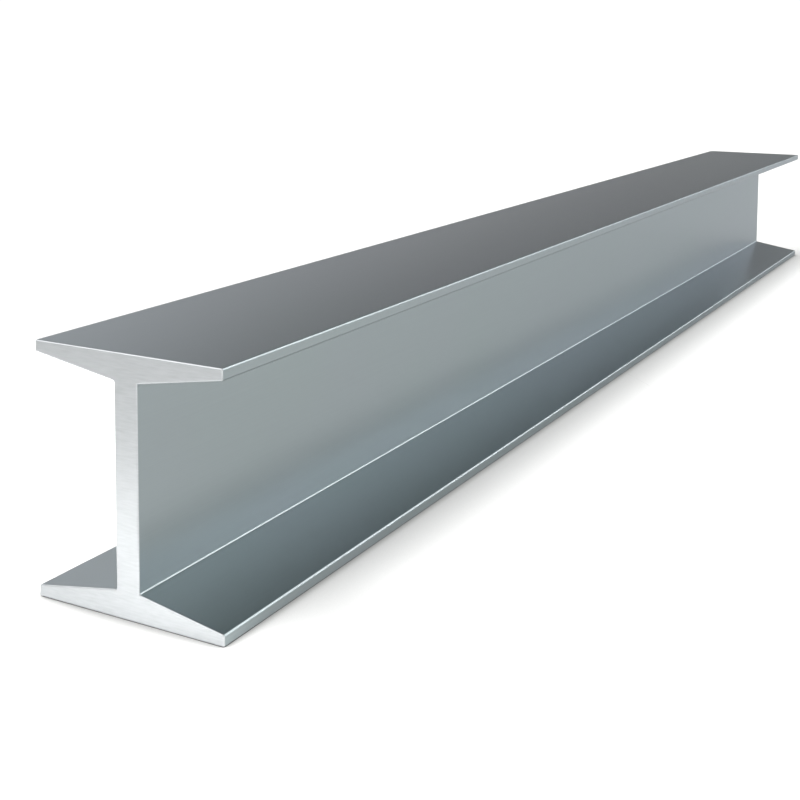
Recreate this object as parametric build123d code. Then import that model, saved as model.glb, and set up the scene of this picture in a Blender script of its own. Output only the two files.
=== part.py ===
"""Stainless steel H-beam: one bar of constant section, sawn square at both ends.

The section is a deep web between two wide flanges. Each flange is flat outside and tapers inside,
from a thick root at the web to a thin square toe. The bar lies on its lower flange as it would on
a floor.

Frame: +X along the length, +Y across the flanges, +Z up, with the origin at the middle of the lower
flange's underside.
"""

import os

from build123d import *

# Driving dimensions, in millimetres
beam_length = 950.0  # from saw cut to saw cut
section_depth = 100.0  # over both flanges
flange_width = 87.0  # from toe to toe
web_thickness = 10.8
toe_thickness = 4.5  # of a flange at its toes
flange_slope = 1 / 6  # fall of a flange's inner face towards its toe, over the width it falls in
root_radius = 0.8  # of the fillets between web and flanges
edge_radius = 0.7  # of the broken edges, at the toes and round both saw cuts

# Sizes that follow from them
half_width = flange_width / 2
half_web = web_thickness / 2
root_thickness = toe_thickness + flange_slope * (half_width - half_web)


def beam_section():
    """The H outline, in the plane across the beam, with a fillet in each of its four roots."""
    right_side = [
        (half_width, 0),
        (half_width, toe_thickness),
        (half_web, root_thickness),
        (half_web, section_depth - root_thickness),
        (half_width, section_depth - toe_thickness),
        (half_width, section_depth),
    ]
    left_side = [(-across, up) for across, up in reversed(right_side)]
    outline = make_face(Polyline(*right_side, *left_side, close=True))
    roots = [corner for corner in outline.vertices() if abs(corner.X) < (half_web + half_width) / 2]
    return Plane.YZ * fillet(roots, root_radius)


def rolled_bar():
    """The section over the full length, with every outside edge broken to the same small radius."""
    bar = extrude(beam_section(), amount=beam_length / 2, both=True)
    cut_edges = bar.faces().filter_by(Axis.X).edges()
    long_edges = bar.edges().filter_by(Axis.X)
    toe_edges = long_edges.filter_by(lambda edge: abs(edge.center().Y) > half_width - toe_thickness)
    return fillet(cut_edges + toe_edges, edge_radius)


os.makedirs("parts", exist_ok=True)
h_beam = rolled_bar()
h_beam.label = "h_beam"
export_step(h_beam, "parts/h_beam.step")

kilogram_per_cubic_mm = 7.93e-6  # austenitic stainless steel
print(f"section area {h_beam.volume / beam_length:.0f} mm2, root thickness {root_thickness:.2f} mm")
print(f"volume {h_beam.volume / 1000:.1f} cm3, about {h_beam.volume * kilogram_per_cubic_mm:.2f} kg")
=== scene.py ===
# %% [markdown]
# A stainless steel H-beam on a white studio floor.
#
# The beam is one rolled bar, sawn square at both ends. Its long faces keep the satin grey that the
# rolls and the pickling bath left, and its two ends show the brighter metal of the saw cut. This
# lesson loads the measured model as a frame, builds the visible beam over it by hand, gives it its
# two finishes, and lights it.

# %% Load the measured beam
from math import radians, sin, tan

import bmesh
import bpy
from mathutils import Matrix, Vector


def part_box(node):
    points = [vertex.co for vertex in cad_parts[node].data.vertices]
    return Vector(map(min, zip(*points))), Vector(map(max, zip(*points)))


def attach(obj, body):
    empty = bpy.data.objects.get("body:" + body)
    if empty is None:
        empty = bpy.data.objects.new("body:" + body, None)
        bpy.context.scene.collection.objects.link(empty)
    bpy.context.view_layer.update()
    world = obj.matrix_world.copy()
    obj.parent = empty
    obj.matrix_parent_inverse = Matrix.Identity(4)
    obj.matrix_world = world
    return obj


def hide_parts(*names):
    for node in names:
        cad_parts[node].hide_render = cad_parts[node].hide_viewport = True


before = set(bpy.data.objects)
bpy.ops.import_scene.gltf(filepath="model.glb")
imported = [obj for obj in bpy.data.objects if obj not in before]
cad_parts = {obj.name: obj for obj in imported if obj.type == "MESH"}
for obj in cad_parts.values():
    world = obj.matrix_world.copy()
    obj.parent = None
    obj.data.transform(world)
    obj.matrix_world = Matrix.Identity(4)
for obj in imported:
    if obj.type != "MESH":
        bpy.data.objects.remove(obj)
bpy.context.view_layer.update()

# %% [markdown]
# Sizes come first. The frame gives the beam's overall box, so length, width and depth are read from
# it. The sizes inside the section are those of the real bar: the web, the toes, the slope of the
# flanges' inner faces, and the two small radii, of the roots and of the broken edges.

# %% Sizes of the section, in metres
MM = 0.001
box_low, box_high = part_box("h_beam")
beam_length = box_high[0] - box_low[0]
flange_width = box_high[1] - box_low[1]
section_depth = box_high[2] - box_low[2]
web_thickness = 10.8 * MM
toe_thickness = 4.5 * MM
flange_slope = 1 / 6
root_radius = 0.8 * MM
edge_radius = 0.7 * MM

half_length = beam_length / 2
half_width = flange_width / 2
half_web = web_thickness / 2
flange_run = half_width - half_web
root_thickness = toe_thickness + flange_slope * flange_run
print("length", beam_length, "width", flange_width, "depth", section_depth, "root", root_thickness)

# %% [markdown]
# The bar could be drawn as an outline and extruded. Building it from a block shows more of how the
# section works: the block is as thick as the web, cuts mark off the flanges at its top and bottom,
# and those bands are pulled out sideways.

# %% A block as thick as the web
bpy.ops.object.select_all(action="DESELECT")
bpy.ops.mesh.primitive_cube_add(size=1)
beam = bpy.context.object
beam.name = "beam"
beam.data.name = "beam"
bpy.ops.object.mode_set(mode="EDIT")
bpy.ops.transform.resize(value=(beam_length, web_thickness, section_depth))
bpy.ops.transform.translate(value=(0, 0, section_depth / 2))
print("block", beam_length, "by", web_thickness, "by", section_depth)

# %% [markdown]
# Each operator below acts on what is selected. By hand, that would be clicked with a mouse. Here two
# helpers select faces, edges or vertices by where they are, which still works after a size changes.

# %% Helpers that select by place
same_place = 0.01 * MM


def near(value, place):
    """True where a coordinate lies at a place, within a hundredth of a millimetre."""
    return abs(value - place) < same_place


def pick(kind, wanted):
    """Selects just the vertices, edges or faces that are wanted, and returns how many they are."""
    bpy.ops.mesh.select_mode(type=kind)
    bpy.ops.mesh.select_all(action="DESELECT")
    shape = bmesh.from_edit_mesh(beam.data)
    items = {"VERT": shape.verts, "EDGE": shape.edges, "FACE": shape.faces}[kind]
    chosen = [item for item in items if wanted(item)]
    for item in chosen:
        item.select_set(True)
    shape.select_flush_mode()
    bmesh.update_edit_mesh(beam.data)
    return len(chosen)


# %% [markdown]
# A flange is thick at its root, where it meets the web, and thin at its toe, because the rolls must
# let go of the hot bar. So each flange is first pulled out as thick as its root, and its inner
# corners are then moved towards its outside face.

# %% Two cuts mark off the flanges
root_heights = (root_thickness, section_depth - root_thickness)
for height in root_heights:
    bpy.ops.mesh.select_all(action="SELECT")
    bpy.ops.mesh.bisect(plane_co=(0, 0, height), plane_no=(0, 0, 1))
print("cuts at heights", root_heights)

# %% Pull the flanges out sideways


def is_flange_side(face, side):
    """True for a face on one side of the block, above or below the web."""
    middle = face.calc_center_median()
    in_flange = middle.z < root_heights[0] or middle.z > root_heights[1]
    return face.normal.y * side > 0.9 and in_flange


for side in (-1, 1):
    count = pick("FACE", lambda face: is_flange_side(face, side))
    bpy.ops.mesh.extrude_region_move(TRANSFORM_OT_translate={"value": (0, side * flange_run, 0)})
    print("flanges pulled out on one side:", count)

# %% Thin the flanges towards their toes
taper = root_thickness - toe_thickness
for height, move in zip(root_heights, (-taper, taper)):
    count = pick("VERT", lambda vert: near(abs(vert.co.y), half_width) and near(vert.co.z, height))
    bpy.ops.transform.translate(value=(0, 0, move))
    print("toe corners moved:", count)

# %% Merge what lies flat in one face
merge_distance = 0.001 * MM
flat_angle = radians(0.5)
bpy.ops.mesh.select_all(action="SELECT")
bpy.ops.mesh.remove_doubles(threshold=merge_distance)
bpy.ops.mesh.dissolve_limited(angle_limit=flat_angle)
bpy.ops.mesh.normals_make_consistent(inside=False)
print("faces of the sharp-edged bar:", len(bmesh.from_edit_mesh(beam.data).faces))

# %% [markdown]
# Real steel has no perfectly sharp corner. The rolls leave a small radius in each root, between web
# and flange, and the toes and saw cuts are broken so that they don't cut hands. These small rounds
# are what catch the light as fine bright lines, so each one is a true round of several faces. A bevel
# does that, and its offset is worked out from the radius: a right-angled edge needs its radius, and
# the roots, which open a little wider, need less.

# %% Round the roots
round_profile = 0.5  # a bevel's profile that is an arc of a circle
root_steps = 8
root_half_angle = (radians(90) + flange_slope) / 2  # so slight a slope is nearly its angle in radians
root_offset = root_radius / tan(root_half_angle)


def is_long(edge):
    """True for an edge that runs along the beam."""
    start, end = (vert.co for vert in edge.verts)
    return abs(end.x - start.x) > half_length


count = pick("EDGE", lambda edge: is_long(edge) and near(abs(edge.verts[0].co.y), half_web))
bpy.ops.mesh.bevel(offset=root_offset, segments=root_steps, profile=round_profile, affect="EDGES")
print("roots rounded:", count)

# %% Break the edges of the toes and the saw cuts
edge_steps = 5


def is_outside_edge(edge):
    """True for an edge along a toe or round a saw cut."""
    start, end = (vert.co for vert in edge.verts)
    at_toe = is_long(edge) and near(abs(start.y), half_width)
    at_cut = near(abs(start.x), half_length) and near(start.x, end.x)
    return at_toe or at_cut


count = pick("EDGE", is_outside_edge)
bpy.ops.mesh.bevel(offset=edge_radius, segments=edge_steps, profile=round_profile, affect="EDGES")
bpy.ops.object.mode_set(mode="OBJECT")
print("edges broken:", count, "faces now:", len(beam.data.polygons))

# %% [markdown]
# Smooth shading would make the broad flat faces look bulged near the rounds. The Weighted Normal
# modifier lets the largest face at each corner decide, so flat faces stay flat and each round runs
# smoothly into them.

# %% Shade the rounds smoothly and keep the faces flat
bpy.ops.object.select_all(action="DESELECT")
beam.select_set(True)
bpy.context.view_layer.objects.active = beam
bpy.ops.object.shade_smooth()
bpy.ops.object.modifier_add(type="WEIGHTED_NORMAL")
bpy.ops.object.modifier_apply(modifier=beam.modifiers[-1].name)
print("smooth faces:", sum(face.use_smooth for face in beam.data.polygons))

# %% [markdown]
# Two helpers for the finishes. Colours are written as a picture shows them and turned into light
# values, and one function adds a node with its settings and links. Inputs that share a name, as on
# the Math and Mix nodes, are given by their number.

# %% Helpers for the finishes


def light_value(hex_colour):
    """The linear colour, with alpha, of an sRGB hex colour such as #8899aa."""
    channels = [int(hex_colour[start:start + 2], 16) / 255 for start in (1, 3, 5)]
    linear = [c / 12.92 if c <= 0.04045 else ((c + 0.055) / 1.055) ** 2.4 for c in channels]
    return (*linear, 1.0)


def add_node(tree, kind, settings=None, values=None, links=None):
    """Adds a node of a kind, sets its properties and input values, and links its other inputs."""
    node = tree.nodes.new(kind)
    for name, value in (settings or {}).items():
        setattr(node, name, value)
    for name, value in (values or {}).items():
        node.inputs[name].default_value = value
    for name, output in (links or {}).items():
        tree.links.new(output, node.inputs[name])
    return node


# %% [markdown]
# The long faces are austenitic stainless steel with a satin mill finish. Rolls and pickling leave it
# an even grey with a cool tint, dull enough to blur what it reflects. Looked at closely it has fine
# lines along the rolling direction and a slight cloudiness. An image could carry them, but two noise
# patterns need no file and no unwrapping. Both are faint here: they move the colour and the roughness
# by a few percent. The real lines are finer than a tenth of a millimetre, so they are drawn coarser to
# show at all.
#
# Specular Tint sets what a metal mirrors at grazing angles, where it would be nearly white. The pits
# and lines of a satin skin hide one another at such angles, so it is kept well below white.

# %% Rolled stainless steel, satin mill finish: its lines and clouds
rolled = bpy.data.materials.new("stainless_steel_rolled_satin")
rolled.use_nodes = True
tree = rolled.node_tree
steel = tree.nodes["Principled BSDF"]
grazing_tint = (0.645, 0.65, 0.68, 1.0)
steel.inputs["Metallic"].default_value = 1.0
steel.inputs["Specular Tint"].default_value = grazing_tint

roll_line_width = 0.5 * MM
roll_line_length = 120 * MM
cloud_size = 70 * MM

place = add_node(tree, "ShaderNodeTexCoord")
along_roll = add_node(
    tree, "ShaderNodeMapping",
    values={"Scale": (1 / roll_line_length, 1 / roll_line_width, 1 / roll_line_width)},
    links={"Vector": place.outputs["Object"]},
)
roll_lines = add_node(
    tree, "ShaderNodeTexNoise",
    values={"Scale": 1.0, "Detail": 3.0, "Roughness": 0.6},
    links={"Vector": along_roll.outputs["Vector"]},
)
clouds = add_node(
    tree, "ShaderNodeTexNoise",
    values={"Scale": 1 / cloud_size, "Detail": 2.0, "Roughness": 0.5},
    links={"Vector": place.outputs["Object"]},
)
print("roll lines", roll_line_width, "by", roll_line_length, "clouds", cloud_size)

# %% Rolled stainless steel: its colour, roughness and relief
noise_low, noise_high = 0.3, 0.7  # most of a noise pattern lies between these values
rolled_grey = "#90979a"
rolled_grey_in_clouds = "#8e9898"
line_darkest, line_lightest = 0.985, 1.015
rolled_smoothest, rolled_roughest = 0.28, 0.30
rolled_relief_share = 0.06
rolled_relief_depth = 0.005 * MM

cloud_colour = add_node(
    tree, "ShaderNodeMix", {"data_type": "RGBA"},
    values={6: light_value(rolled_grey), 7: light_value(rolled_grey_in_clouds)},
    links={0: clouds.outputs["Fac"]},
)
line_shade = add_node(
    tree, "ShaderNodeMapRange",
    values={"From Min": noise_low, "From Max": noise_high, "To Min": line_darkest, "To Max": line_lightest},
    links={"Value": roll_lines.outputs["Fac"]},
)
rolled_colour = add_node(
    tree, "ShaderNodeVectorMath", {"operation": "SCALE"},
    links={"Vector": cloud_colour.outputs[2], "Scale": line_shade.outputs["Result"]},
)
rolled_roughness = add_node(
    tree, "ShaderNodeMapRange",
    values={
        "From Min": noise_low, "From Max": noise_high,
        "To Min": rolled_smoothest, "To Max": rolled_roughest,
    },
    links={"Value": roll_lines.outputs["Fac"]},
)
rolled_relief = add_node(
    tree, "ShaderNodeBump",
    values={"Strength": rolled_relief_share, "Distance": rolled_relief_depth},
    links={"Height": roll_lines.outputs["Fac"]},
)
tree.links.new(rolled_colour.outputs["Vector"], steel.inputs["Base Color"])
tree.links.new(rolled_roughness.outputs["Result"], steel.inputs["Roughness"])
tree.links.new(rolled_relief.outputs["Normal"], steel.inputs["Normal"])
print("finish made:", rolled.name)

# %% [markdown]
# The ends were sawn and lightly ground, so they show bare metal, brighter and a little rougher than
# the rolled skin. The wheel left short fine lines across the section. A stretched noise pattern gives
# them, as on the rolled faces. Real grinding lines are mostly finer than can be seen from here, so
# they are drawn 0.8 mm wide to show at all.

# %% Stainless steel, sawn and ground: its lines
sawn = bpy.data.materials.new("stainless_steel_sawn_ground")
sawn.use_nodes = True
tree = sawn.node_tree
steel = tree.nodes["Principled BSDF"]
steel.inputs["Metallic"].default_value = 1.0
steel.inputs["Specular Tint"].default_value = grazing_tint

cut_line_width = 0.8 * MM
cut_line_length = 7 * MM
cut_line_depth = 30 * MM  # far more than the broken edge is deep, so lines run straight over it

place = add_node(tree, "ShaderNodeTexCoord")
along_cut = add_node(
    tree, "ShaderNodeMapping",
    values={"Scale": (1 / cut_line_depth, 1 / cut_line_length, 1 / cut_line_width)},
    links={"Vector": place.outputs["Object"]},
)
cut_lines = add_node(
    tree, "ShaderNodeTexNoise",
    values={"Scale": 1.0, "Detail": 3.0, "Roughness": 0.6},
    links={"Vector": along_cut.outputs["Vector"]},
)
print("cut lines", cut_line_width, "by", cut_line_length)

# %% Stainless steel, sawn and ground: its colour, roughness and relief
cut_dark = "#a5a8aa"
cut_light = "#c1c4c6"
cut_smoothest, cut_roughest = 0.33, 0.41
cut_relief_share = 0.2
cut_relief_depth = 0.02 * MM

cut_colour = add_node(
    tree, "ShaderNodeMix", {"data_type": "RGBA"},
    values={6: light_value(cut_dark), 7: light_value(cut_light)},
    links={0: cut_lines.outputs["Fac"]},
)
cut_roughness = add_node(
    tree, "ShaderNodeMapRange",
    values={"From Min": noise_low, "From Max": noise_high, "To Min": cut_smoothest, "To Max": cut_roughest},
    links={"Value": cut_lines.outputs["Fac"]},
)
cut_relief = add_node(
    tree, "ShaderNodeBump",
    values={"Strength": cut_relief_share, "Distance": cut_relief_depth},
    links={"Height": cut_lines.outputs["Fac"]},
)
tree.links.new(cut_colour.outputs[2], steel.inputs["Base Color"])
tree.links.new(cut_roughness.outputs["Result"], steel.inputs["Roughness"])
tree.links.new(cut_relief.outputs["Normal"], steel.inputs["Normal"])
print("finish made:", sawn.name)

# %% [markdown]
# The saw and the wheel touched the end faces and the broken edges round them, and nothing else. So a
# face gets the sawn finish if it reaches the end of the bar and is turned towards it, and every other
# face keeps the rolled one.

# %% Give each face its finish
turned_to_end = 0.1
beam.data.materials.append(rolled)
beam.data.materials.append(sawn)
for face in beam.data.polygons:
    reach = max(abs(beam.data.vertices[index].co.x) for index in face.vertices)
    at_end = reach > half_length - edge_radius / 2
    face.material_index = 1 if at_end and abs(face.normal.x) > turned_to_end else 0
print("sawn faces:", sum(face.material_index for face in beam.data.polygons))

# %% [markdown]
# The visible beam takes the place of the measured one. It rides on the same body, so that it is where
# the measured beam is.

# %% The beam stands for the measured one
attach(beam, "root")
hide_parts("h_beam")
print("stands for h_beam:", beam.name)

# %% [markdown]
# The beam lies on white studio paper. A plane far larger than the picture serves as the floor, and it
# keeps the beam's soft shadow.

# %% A white floor
floor_size = 200.0
bpy.ops.object.select_all(action="DESELECT")
bpy.ops.mesh.primitive_plane_add(size=floor_size)
floor = bpy.context.object
floor.name = "floor"
print("floor", floor_size, "metres wide")

# %% [markdown]
# Under soft light, a floor is darkest close to the foot of what stands on it, where most of the room
# is shut out. The lights of this room reach under the beam's edge and leave that shade too pale, so
# a shadow is also painted into the paper's colour: it is darkened by its Ambient Occlusion, the share
# of its near surroundings that is open. Only the camera sees this painted shade, so that the steel
# doesn't mirror it. A weak glow lifts the paper to white where it is seen or mirrored.

# %% White studio paper, with painted shade close to the beam
painted_shade_reach = 65 * MM
painted_shade_depth = 1.4
painted_shade_samples = 16
paper_white = "#e6e6e5"

paper = bpy.data.materials.new("white_studio_paper")
paper.use_nodes = True
tree = paper.node_tree
tree.nodes.remove(tree.nodes["Principled BSDF"])
light_path = add_node(tree, "ShaderNodeLightPath")
openness = add_node(
    tree, "ShaderNodeAmbientOcclusion", {"samples": painted_shade_samples}, values={"Distance": painted_shade_reach},
)
painted_contact_shade = add_node(
    tree, "ShaderNodeMath", {"operation": "POWER"},
    values={1: painted_shade_depth},
    links={0: openness.outputs["AO"]},
)
# The painted shade darkens the paper's colour for camera rays only
shade_seen = add_node(
    tree, "ShaderNodeMix", {"data_type": "FLOAT"},
    values={2: 1.0},
    links={0: light_path.outputs["Is Camera Ray"], 3: painted_contact_shade.outputs[0]},
)
paper_colour = add_node(
    tree, "ShaderNodeVectorMath", {"operation": "SCALE"},
    values={0: light_value(paper_white)[:3]},
    links={"Scale": shade_seen.outputs[0]},
)
lit_paper = add_node(tree, "ShaderNodeBsdfDiffuse", links={"Color": paper_colour.outputs["Vector"]})
print("shade reaches", painted_shade_reach)

# %% A weak glow where the paper is seen or mirrored
floor_glow = 0.05
seen_or_mirrored = add_node(
    tree, "ShaderNodeMath", {"operation": "MAXIMUM"},
    links={0: light_path.outputs["Is Camera Ray"], 1: light_path.outputs["Is Glossy Ray"]},
)
seen_at_all = add_node(
    tree, "ShaderNodeMath", {"operation": "MAXIMUM"},
    links={0: seen_or_mirrored.outputs[0], 1: light_path.outputs["Is Transmission Ray"]},
)
glow_strength = add_node(
    tree, "ShaderNodeMath", {"operation": "MULTIPLY"},
    values={1: floor_glow},
    links={0: seen_at_all.outputs[0]},
)
glow = add_node(tree, "ShaderNodeEmission", links={"Strength": glow_strength.outputs[0]})
both = add_node(tree, "ShaderNodeAddShader", links={0: lit_paper.outputs[0], 1: glow.outputs[0]})
tree.links.new(both.outputs[0], tree.nodes["Material Output"].inputs["Surface"])
floor.data.materials.append(paper)
print("paper made:", paper.name)

# %% [markdown]
# Metal shows what is round it, so the room makes most of the look. It could be built from lamps and
# boards, but here it is painted on the world, where each light is a patch of directions with soft
# borders. A border is a soft step in one measure of a direction: X, which is 1 straight ahead along
# the beam, Y, which is positive on the left, Z, the sine of its angle above the floor, or its rise,
# which is the angle that it climbs at when the room is looked at along the beam.

# %% Borders of the lights


def rise(dark_at, full_at):
    """A border in the rise, in degrees: where the light is out, and where it is at its full strength."""
    return "rise", radians(dark_at), radians(full_at)


def climb(dark_at, full_at):
    """A border in the angle above the floor, in degrees."""
    return "Z", sin(radians(dark_at)), sin(radians(full_at))


def along(dark_at, full_at):
    """A border in X, from -1 straight behind to 1 straight ahead."""
    return "X", dark_at, full_at


ahead = along(-0.2, 0.2)
behind = along(0.2, -0.2)
far_ahead = along(0.45, 0.7)
short_of_far = along(0.7, 0.45)
on_left = ("Y", -0.02, 0.02)
on_right = ("Y", 0.02, -0.02)
below_ceiling = climb(64, 54)
print("left and right meet over", on_left[2] - on_left[1], "of Y")

# %% [markdown]
# On the left is a low grey wall with a bright cove along its top. The upper face mirrors both at a low
# angle, which gives its slow change from light to dark, and a weak window lightens its near end.
#
# On the right is a broad window. Far ahead it is left dark but for two bright strips, one at its foot
# and one at its top. The web's foot shows the lower strip by way of the lower slope, and the lower
# slope shows the upper strip by way of the web. Each of these reflections is dimmed twice, so the
# strips are strong. Between them it is dark because the upper face, seen from the back, mirrors that
# place and would turn white.
#
# The grey wall above the window and the dim one far ahead on the left fill the lower slope. The walls
# behind on the right and ahead on the left are there for the other sides of the beam. The soft boxes
# and the ceiling light the floor and draw bright lines along the edges.

# %% The lights of the room
room_lights = {
    "low grey wall on the left": (0.26, (ahead, on_left, rise(22, 17))),
    "bright cove along its top": (3.5, (ahead, on_left, rise(12, 18), rise(21.5, 16.5))),
    "window at its near end": (0.7, (on_left, along(0.95, 0.65), rise(14, 19), rise(25, 20))),
    "broad window on the right": (1.5, (ahead, short_of_far, on_right, rise(55, 45))),
    "bright strip at its foot": (11.2, (far_ahead, on_right, rise(17, 11))),
    "bright strip at its top": (6.0, (far_ahead, on_right, rise(30, 40), rise(55, 45))),
    "wall behind on the right": (1.2, (behind, on_right, rise(66, 54))),
    "wall ahead on the left": (0.6, (ahead, on_left, along(0.76, 0.6), rise(26, 36), below_ceiling)),
    "grey wall above the window": (1.15, (ahead, on_right, rise(45, 55), rise(66, 57), below_ceiling)),
    "dim wall far ahead on the left": (0.55, (on_left, along(0.85, 0.95), rise(44, 56))),
    "soft box high on the right": (2.2, (ahead, on_right, rise(50, 62), climb(18, 30), below_ceiling)),
    "soft box behind on the left": (2.9, (behind, on_left, rise(26, 36), below_ceiling)),
    "ceiling": (1.05, (climb(54, 64),)),
}
print("lights in the room:", len(room_lights))

# %% The measures of a direction
room = bpy.data.worlds.new("studio_room")
bpy.context.scene.world = room
room.use_nodes = True
tree = room.node_tree
backdrop = tree.nodes["Background"]
backdrop.inputs["Color"].default_value = (1.0, 1.0, 1.0, 1.0)
way = add_node(tree, "ShaderNodeTexCoord")
split = add_node(tree, "ShaderNodeSeparateXYZ", links={0: way.outputs["Generated"]})
sideways = add_node(tree, "ShaderNodeMath", {"operation": "ABSOLUTE"}, links={0: split.outputs["Y"]})
rise_angle = add_node(
    tree, "ShaderNodeMath", {"operation": "ARCTAN2"},
    links={0: split.outputs["Z"], 1: sideways.outputs[0]},
)
measures = {name: split.outputs[name] for name in ("X", "Y", "Z")}
measures["rise"] = rise_angle.outputs[0]
print("measures of a direction:", list(measures))

# %% Add up the lights
dim_room = 0.08
total = None
for name, (strength, borders) in room_lights.items():
    patch = None
    for measure, dark_at, full_at in borders:
        border = add_node(
            tree, "ShaderNodeMapRange", {"interpolation_type": "SMOOTHSTEP"},
            values={"From Min": dark_at, "From Max": full_at, "To Min": 0.0, "To Max": 1.0},
            links={"Value": measures[measure]},
        )
        if patch is None:
            patch = border.outputs[0]
        else:
            narrowed = add_node(
                tree, "ShaderNodeMath", {"operation": "MULTIPLY"}, links={0: patch, 1: border.outputs[0]},
            )
            patch = narrowed.outputs[0]
    added = add_node(
        tree, "ShaderNodeMath", {"operation": "MULTIPLY_ADD"},
        values={1: strength, 2: dim_room},
        links={0: patch} if total is None else {0: patch, 2: total},
    )
    total = added.outputs[0]
    print("light in the room:", name, strength)

# %% [markdown]
# Close above the floor the room is plain white all round, so that the floor runs into the backdrop
# with no line. The border of that white is tilted a little, lower ahead than behind. Its strength is a
# little over 1, which is white, so that the noise of the render leaves no grey specks.

# %% White down to the horizon
backdrop_white = 1.06
horizon_start = 0.06
horizon_end = 0.085
horizon_tilt = 0.02
lifted = add_node(
    tree, "ShaderNodeMath", {"operation": "MULTIPLY_ADD"},
    values={1: horizon_tilt},
    links={0: split.outputs["X"], 2: split.outputs["Z"]},
)
above_horizon = add_node(
    tree, "ShaderNodeMapRange", {"interpolation_type": "SMOOTHSTEP"},
    values={"From Min": horizon_start, "From Max": horizon_end},
    links={"Value": lifted.outputs[0]},
)
room_light = add_node(
    tree, "ShaderNodeMix", {"data_type": "FLOAT"},
    values={2: backdrop_white},
    links={0: above_horizon.outputs[0], 3: total},
)
tree.links.new(room_light.outputs[0], backdrop.inputs["Strength"])
print("room made:", room.name, "with", len(tree.nodes), "nodes")

# %% [markdown]
# Four narrow lamps light the floor alone: the camera and the steel don't see them. One makes a pool
# at the near end, which shows in the lower half of the sawn face. One stands off the near right corner
# and one hangs along the front, and they keep the beam's shade short there. The last takes the shade
# off the floor on the left. Each is a rectangle with a small spread, so its pool stays in its place.

# %% Lamps for the floor alone
floor_lamps = {
    "near_end_lamp": {
        "place": (-half_length - 60 * MM, 24 * MM, 150 * MM), "turn": (0, 0, 120),
        "size": (205 * MM, 60 * MM), "spread": 46, "watts": 0.071,
    },
    "corner_floor_lamp": {
        "place": (-half_length - 185 * MM, -220 * MM, 200 * MM), "turn": (0, 0, 49),
        "size": (300 * MM, 60 * MM), "spread": 36, "watts": 0.20,
    },
    "front_floor_lamp": {
        "place": (20 * MM, -85 * MM, 100 * MM), "turn": (0, 0, 0),
        "size": (880 * MM, 30 * MM), "spread": 40, "watts": 0.050,
    },
    "left_floor_lamp": {
        "place": (-200 * MM, 400 * MM, 450 * MM), "turn": (-30, 0, 0),
        "size": (600 * MM, 100 * MM), "spread": 36, "watts": 1.0,
    },
}
for name, plan in floor_lamps.items():
    turn = [radians(angle) for angle in plan["turn"]]
    bpy.ops.object.light_add(type="AREA", location=plan["place"], rotation=turn)
    lamp = bpy.context.object
    lamp.name = name
    lamp.data.shape = "RECTANGLE"
    lamp.data.size, lamp.data.size_y = plan["size"]
    lamp.data.spread = radians(plan["spread"])
    lamp.data.energy = plan["watts"]
    lamp.visible_camera = False
    lamp.visible_glossy = False
    print("lamp:", name, plan["watts"], "watts")

# %% [markdown]
# The camera stands low at the near end, on the right, and looks along the beam. Upright edges stay
# nearly upright in the picture. A lens that is tilted down at the beam would make them lean, so this
# one looks almost level and is shifted down instead. Its place, turn and lens were solved so that the
# beam's edges fall where they do in the photograph, and the odd digits come from that.

# %% The camera
camera_place = (-0.82915, -0.30575, 0.21438)
camera_turn = (85.0021, -0.3078, -61.3845)
lens_length = 58.073
lens_shift = -0.31315
sensor_width = 36.0
nearest_seen, farthest_seen = 0.01, 200.0

bpy.ops.object.camera_add(location=camera_place)
camera = bpy.context.object
camera.name = "camera"
camera.rotation_euler = [radians(angle) for angle in camera_turn]
camera.data.sensor_width = sensor_width
camera.data.lens = lens_length
camera.data.shift_y = lens_shift
camera.data.clip_start = nearest_seen
camera.data.clip_end = farthest_seen
bpy.context.scene.camera = camera
bpy.context.scene.view_settings.view_transform = "Standard"
print("camera at", camera_place, "turned", camera_turn, "degrees")
